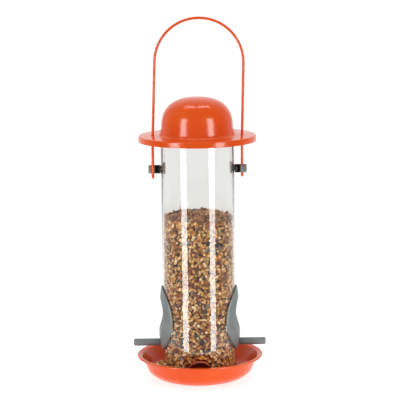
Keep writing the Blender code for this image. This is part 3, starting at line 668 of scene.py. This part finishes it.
def kernel(length, width, thickness, taper, crease=0.0, facets=0):
    """One grain, long in X and thin in Z: drawn out towards an end and creased along its face, or
    broken into facets."""
    made = bmesh.new()
    if facets:
        bmesh.ops.create_icosphere(made, subdivisions=1, radius=1.0)
    else:
        bmesh.ops.create_uvsphere(made, u_segments=8, v_segments=6, radius=1.0)
    for vert in made.verts:
        along = vert.co.z
        slim = 1.0 - taper * along ** 2 - taper * 0.5 * along
        across, face = vert.co.x * slim, vert.co.y * slim
        if facets:
            knock = noise.noise(vert.co * 1.7 + Vector((facets, 0, 0))) * 0.45
            along, across, face = (value * (1 + knock) for value in (along, across, face))
        elif crease and abs(across) < 0.2 and abs(along) < 0.9:
            face *= 1 - crease
        vert.co = Vector((along * length, across * width, face * thickness)) * MM / 2
    bmesh.ops.recalc_face_normals(made, faces=made.faces)
    mesh = bpy.data.meshes.new("kernel")
    made.to_mesh(mesh)
    made.free()
    return mesh


WHEAT = seed_coat(
    "dry_wheat_husk", [(0.0, "#7E4418"), (0.35, "#B8792F"), (0.65, "#E0A858"), (1.0, "#FFE6B8")],
    0.5, 2.2, "#6A3C14")
MAIZE = seed_coat(
    "cracked_maize", [(0.0, "#A4560F"), (0.5, "#E0972E"), (1.0, "#FCDC98")], 0.4, 2.6, "#8A4A0C")
SUNFLOWER = seed_coat(
    "sunflower_husk", [(0.0, "#2A2420"), (0.6, "#4A433C"), (1.0, "#8A8076")], 0.5, 1.5, "#141110")
MILO = seed_coat(
    "red_milo", [(0.0, "#5E220A"), (0.6, "#A4521F"), (1.0, "#D88E4C")], 0.45, 1.5, "#3E180A")
MILLET = seed_coat(
    "cream_millet", [(0.0, "#A8692A"), (0.6, "#E0AE60"), (1.0, "#FFE6B4")], 0.45, 1.5, "#946A34")

# name: share of the mix, its material and its shapes
MIX = {
    "wheat": (0.20, WHEAT, [kernel(5.2, 2.7, 2.4, 0.2, 0.3), kernel(5.6, 2.4, 2.2, 0.26, 0.3)]),
    "oats": (0.08, WHEAT, [kernel(7.2, 2.1, 1.9, 0.3, 0.3)]),
    "maize": (0.20, MAIZE, [kernel(3.7, 3.3, 2.5, 0.0, 0.0, k) for k in (1, 2, 3)]),
    "sunflower": (0.025, SUNFLOWER, [kernel(7.4, 3.9, 2.8, 0.28)]),
    "milo": (0.22, MILO, [kernel(3.3, 3.1, 2.8, 0.0)]),
    "millet": (0.27, MILLET, [kernel(3.0, 2.8, 2.5, 0.0)]),
}


def heap_top(x, y):
    """The height of the seed's uneven surface in the tube, a little lower on the right."""
    lumps = 1.3 * noise.noise(Vector((x, y, 0)) * 0.09) + 0.8 * noise.noise(Vector((x, y, 9)) * 0.3)
    return SEED_TOP + (0.8 * y - 0.6 * x) / SEED_WALL + lumps


def lay_grains(layer, spots, tilt, wall=None, floor=None):
    """Lay a grain of the mix at each (point, outward direction), in one piece for each kind. None
    goes outside a wall of that radius or under a floor of that height."""
    kinds = list(MIX)
    shares = np.array([MIX[kind][0] for kind in kinds])
    piles = {kind: bmesh.new() for kind in kinds}
    picks = draw.choice(len(kinds), size=len(spots), p=shares / shares.sum())
    for (spot, outward), pick in zip(spots, picks):
        kind = kinds[pick]
        shapes = MIX[kind][2]
        spin, lean_a, lean_b, size, which = draw.random(5)
        facing = Vector(outward).to_track_quat("Z", "Y").to_matrix().to_4x4()
        place = (
            Matrix.Translation(Vector(spot) * MM) @ facing @ Matrix.Rotation(spin * 2 * pi, 4, "Z")
            @ Matrix.Rotation((lean_a - 0.5) * 2 * tilt, 4, "Y")
            @ Matrix.Rotation((lean_b - 0.5) * 4 * tilt, 4, "X")
            @ Matrix.Scale(0.85 + 0.3 * size, 4))
        grain = shapes[int(which * len(shapes))].copy()
        grain.transform(place)
        piles[kind].from_mesh(grain)
        bpy.data.meshes.remove(grain)
    for kind, pile in piles.items():
        for vert in pile.verts:
            out = vert.co.to_2d().length
            if wall and out > wall * MM:
                vert.co.x *= wall * MM / out
                vert.co.y *= wall * MM / out
            if floor:
                vert.co.z = max(vert.co.z, floor(out / MM) * MM)
        mesh = bpy.data.meshes.new(f"{layer}_{kind}")
        pile.to_mesh(mesh)
        pile.free()
        mesh.shade_smooth()
        mesh.set_sharp_from_angle(angle=radians(75 if kind != "maize" else 15))
        mesh.materials.append(MIX[kind][1])
        piece = bpy.data.objects.new(mesh.name, mesh)
        bpy.context.collection.objects.link(piece)
        stands_for(piece, "root", "mixed_seed")


def in_arch(x, z, room):
    return hypot(x, z - ARCH_CENTRE) < ARCH_RADIUS + room


def behind_port(x, y, z, radius):
    """Whether a point near the wall lies where a baffle's plate, hood or boss is, or a bracket."""
    in_plate = hypot(y / PLATE_HALF_WIDTH, (z - PLATE_CENTRE) / PLATE_HALF_HEIGHT) < 1
    in_hood = hypot(y, z - PORT_HEIGHT) < HOOD_RADIUS
    in_boss = hypot(y, z - PERCH_HEIGHT) < BOSS_RADIUS
    by_bracket = abs(y) < BRACKET_HALF_WIDTH and z < BRACKET_TOP
    return (
        in_plate and radius > PLATE_BACK or in_hood and abs(x) > HOOD_REACH
        or in_boss and abs(x) > BOSS_REACH or by_bracket and abs(x) > BRACKET_REACH)


def wall_spots(radius, row, gap):
    """Places for grains in rows round a cylinder, up to the heap's top."""
    found = []
    rows = int((ROWS_TOP - SEED_LOW) / row)
    for i in range(rows):
        count = int(2 * pi * radius / gap)
        for j in range(count):
            jog, lift, deep = draw.random(3)
            angle = 2 * pi * (j + 0.5 * (i % 2) + 0.7 * (jog - 0.5)) / count
            z = SEED_LOW + row * (i + 0.8 * (lift - 0.5))
            here = radius - 1.0 * deep ** 2
            x, y = here * cos(angle), here * sin(angle)
            if z > heap_top(x, y) - 0.6 or in_arch(x, z, 1.0) or behind_port(x, y, z, radius):
                continue
            found.append(((x, y, z), (cos(angle), sin(angle), 0.0)))
    return found


def top_spots(depth, gap):
    """Places for grains over the heap's top, that far under its surface."""
    found = []
    reach = int(SEED_WALL / gap) + 1
    for i in range(-reach, reach + 1):
        for j in range(-reach, reach + 1):
            jog_a, jog_b, lift = draw.random(3) - 0.5
            x, y = gap * (i + 0.9 * jog_a), gap * (j + 0.9 * jog_b)
            if hypot(x, y) < SEED_WALL - 1.8:
                found.append(((x, y, heap_top(x, y) - depth + 1.6 * lift), (0.0, 0.0, 1.0)))
    return found


lay_grains("seed_wall", wall_spots(SEED_WALL - 1.15, 2.5, 3.0), 0.2, wall=SEED_WALL)
lay_grains("seed_inner", wall_spots(SEED_WALL - 3.3, 2.9, 3.6), 0.5, wall=SEED_WALL)
lay_grains("seed_top", top_spots(0.8, 2.7) + top_spots(2.6, 3.0), 0.45, wall=SEED_WALL)

PORT_SEED_START = 17.0
PORT_SEED_END = 36.5
PORT_SEED_FALL = 7.2


def port_spots(sign):
    """Places on the slope of seed that runs from under a hood out to a feeding hole's lower lip."""
    found = []
    for depth in (0.0, 2.4):
        for i in range(7):
            for j in range(-5, 6):
                jog_a, jog_b, lift = draw.random(3) - 0.5
                x, y = 18.5 + 2.8 * (i + 0.8 * jog_a), 2.9 * (j + 0.8 * jog_b)
                along = (x - PORT_SEED_START) / (PORT_SEED_END - PORT_SEED_START)
                z = PORT_SEED - PORT_SEED_FALL * along ** 1.2 - depth + 1.2 * lift
                rim = FEED_HOLE - 1.5 if x > COLLAR_END - 1.5 else 16.0
                if hypot(y, z - PORT_HEIGHT) < rim and x < 34.5:
                    found.append(((sign * x, y, z), (sign * 0.35, 0.0, 0.94)))
    return found


lay_grains("port_seed", port_spots(-1) + port_spots(1), 0.4)


def tray_inside(r):
    """The height of the tray's inner face at a radius outside the tube."""
    if r < FOOT_OUTER:
        return SHEET
    return TRAY_CORNER - sqrt(max((TRAY_CORNER - SHEET) ** 2 - (r - FOOT_OUTER) ** 2, 0.0))


SPILL_START = 160
SPILL_END = 256
SPILL_HEIGHT = 13.5
SPILL_INSIDE = 36.0
SPILL_OUTSIDE = 58.0


def spill_spots():
    """Places on a low heap of spilt seed against the tube's foot, thinning out towards the wall."""
    found = []
    for layer in (0, 1, 2, 3):
        for i in range(6):
            r = 37.6 + 2.9 * i
            count = int(radians(SPILL_END - SPILL_START) * r / 2.8)
            for j in range(count):
                jog_a, jog_r, luck = draw.random(3)
                share = (j + 0.8 * (jog_a - 0.5)) / count
                angle = radians(SPILL_START + (SPILL_END - SPILL_START) * share)
                here = r + 1.6 * (jog_r - 0.5)
                full = min(1.0, 4.5 * share, 4.5 * (1 - share))
                outward = (here - SPILL_INSIDE) / (SPILL_OUTSIDE - SPILL_INSIDE)
                heap = 3.3 + SPILL_HEIGHT * full * (1 - outward)
                low = tray_inside(here) + 1.3
                z = max(low, heap - 2.6 * layer)
                if (layer and z == low) or luck > (1.15 - 0.14 * i) * (0.35 + full):
                    continue
                found.append(((here * cos(angle), here * sin(angle), z), (0.0, 0.0, 1.0)))
    return found


lay_grains("spilt_seed", spill_spots(), 0.4, floor=lambda r: tray_inside(r) + 0.15)

CORE_SHARE = 0.86
CORE_SHOULDER = 150.0
CORE_DEPTH = 5.0


def seed_core():
    """The seed that is out of sight in the middle of the tube: one body under the grains."""
    shape = bmesh.new()
    shape.from_mesh(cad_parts["seed_fill"].data)
    bmesh.ops.remove_doubles(shape, verts=shape.verts, dist=0.002 * MM)
    for vert in shape.verts:
        vert.co.x *= CORE_SHARE
        vert.co.y *= CORE_SHARE
        if vert.co.z > CORE_SHOULDER * MM:
            vert.co.z = (heap_top(vert.co.x / MM, vert.co.y / MM) - CORE_DEPTH) * MM
    return shape


def shaded_seed():
    """Seed seen deep between other grains: dark brown as painted shade, mottled at a grain's size and
    darkest in the gaps between cells.
    """
    made, tree, shader, place = new_material("shaded_seed_bulk", 0.8)
    cells = add_node(tree, "TexVoronoi", Vector=place, Scale=grain_size(3.4))
    # Painted shade: darker towards each cell's edge, like the gaps between grains.
    stops = [(0.0, "#6E4626"), (0.45, "#4E2E18"), (0.8, "#24140A")]
    body = add_node(tree, "ValToRGB", {"stops": stops}, Fac=cells.outputs["Distance"])
    tree.links.new(body.outputs["Color"], shader.inputs["Base Color"])
    bump = add_node(
        tree, "Bump", {"invert": True}, Height=cells.outputs["Distance"], Strength=0.8,
        Distance=1.0 * MM)
    tree.links.new(bump.outputs["Normal"], shader.inputs["Normal"])
    return made


core = add_piece("seed_middle", seed_core(), shaded_seed(), sharp=60)
stands_for(core, "root", "mixed_seed", "seed_fill", "tray_seeds")

# ---- studio -----------------------------------------------------------------------------------
# A white room, darker in front where it shows in the gloss, with a small round white stand, a tall
# soft light at each side of the front, and two lights overhead. The camera looks slightly down from
# the front with a long lens.
STAND_RADIUS = 170.0
STRIP_TURN = 44
STRIP_AWAY = 1.1
CAMERA_DOWN = 9.46
CAMERA_ROLL = 0.72
stand_outline = [(0.0, 0.0), (STAND_RADIUS, 0.0), (STAND_RADIUS, -2.0), (0.0, -2.0)]
stand = add_piece("white_stand", turned(stand_outline, 96), ENAMEL)
paper = bpy.data.materials.new("white_paper")
paper.use_nodes = True
paper_shader = paper.node_tree.nodes["Principled BSDF"]
paper_shader.inputs["Base Color"].default_value = linear("#BEBEBE")
paper_shader.inputs["Roughness"].default_value = 0.9
paper_shader.inputs["Emission Color"].default_value = (1, 1, 1, 1)
paper_shader.inputs["Emission Strength"].default_value = 0.74
stand.data.materials[0] = paper

room = bpy.data.worlds.new("white_room")
bpy.context.scene.world = room
room.use_nodes = True
ray = add_node(room.node_tree, "LightPath")
direct = add_node(
    room.node_tree, "Math", {"operation": "MAXIMUM"}, i0=ray.outputs["Is Camera Ray"],
    i1=ray.outputs["Transmission Depth"])
toward = add_node(room.node_tree, "TexCoord").outputs["Generated"]
depth = add_node(room.node_tree, "SeparateXYZ", Vector=toward).outputs["Y"]
back = add_node(
    room.node_tree, "MapRange", Value=depth, From_Min=-0.1, From_Max=0.7, To_Min=0.1, To_Max=1.0)
around = add_node(
    room.node_tree, "Mix", {"data_type": "FLOAT"}, i0=ray.outputs["Is Glossy Ray"], i2=0.86,
    i3=back.outputs["Result"])
strength = add_node(
    room.node_tree, "Mix", {"data_type": "FLOAT"}, i0=direct.outputs["Value"],
    i2=around.outputs["Result"], i3=1.03)
wall = room.node_tree.nodes["Background"]
wall.inputs["Color"].default_value = (1, 1, 1, 1)
room.node_tree.links.new(strength.outputs["Result"], wall.inputs["Strength"])


def gloss_light(name, place, aim, width, height, radiance):
    """A rectangular light with an even radiance, where 1 is the white of the room. It only shows in
    the gloss, so that the colours do not burn out."""
    lamp = bpy.data.lights.new(name, "AREA")
    lamp.shape = "RECTANGLE"
    lamp.size = width
    lamp.size_y = height
    lamp.energy = radiance * pi * width * height
    made = bpy.data.objects.new(name, lamp)
    bpy.context.collection.objects.link(made)
    made.location = place
    made.rotation_euler = (Vector(aim) - Vector(place)).to_track_quat("-Z", "Y").to_euler()
    made.visible_camera = False
    made.visible_transmission = False
    made.visible_diffuse = False


for sign in (-1, 1):
    across, ahead = STRIP_AWAY * sin(radians(STRIP_TURN)), STRIP_AWAY * cos(radians(STRIP_TURN))
    gloss_light(f"side_strip_{sign}", (sign * across, -ahead, 0.27), (0, 0, 0.27), 0.35, 1.06, 13.0)
    gloss_light(f"top_spot_{sign}", (sign * 0.19, 0.1, 1.05), (0, 0, 0.25), 0.15, 0.34, 7.0)

camera_data = bpy.data.cameras.new("front_camera")
camera_data.lens = 155.4
camera_data.sensor_width = 36.0
camera = bpy.data.objects.new("front_camera", camera_data)
bpy.context.collection.objects.link(camera)
camera.location = (0.0019, -1.624, 0.4434)
camera.rotation_euler = (
    Matrix.Rotation(radians(90 - CAMERA_DOWN), 3, "X")
    @ Matrix.Rotation(radians(-CAMERA_ROLL), 3, "Z")).to_euler()
bpy.context.scene.camera = camera
bpy.context.scene.view_settings.view_transform = "Standard"
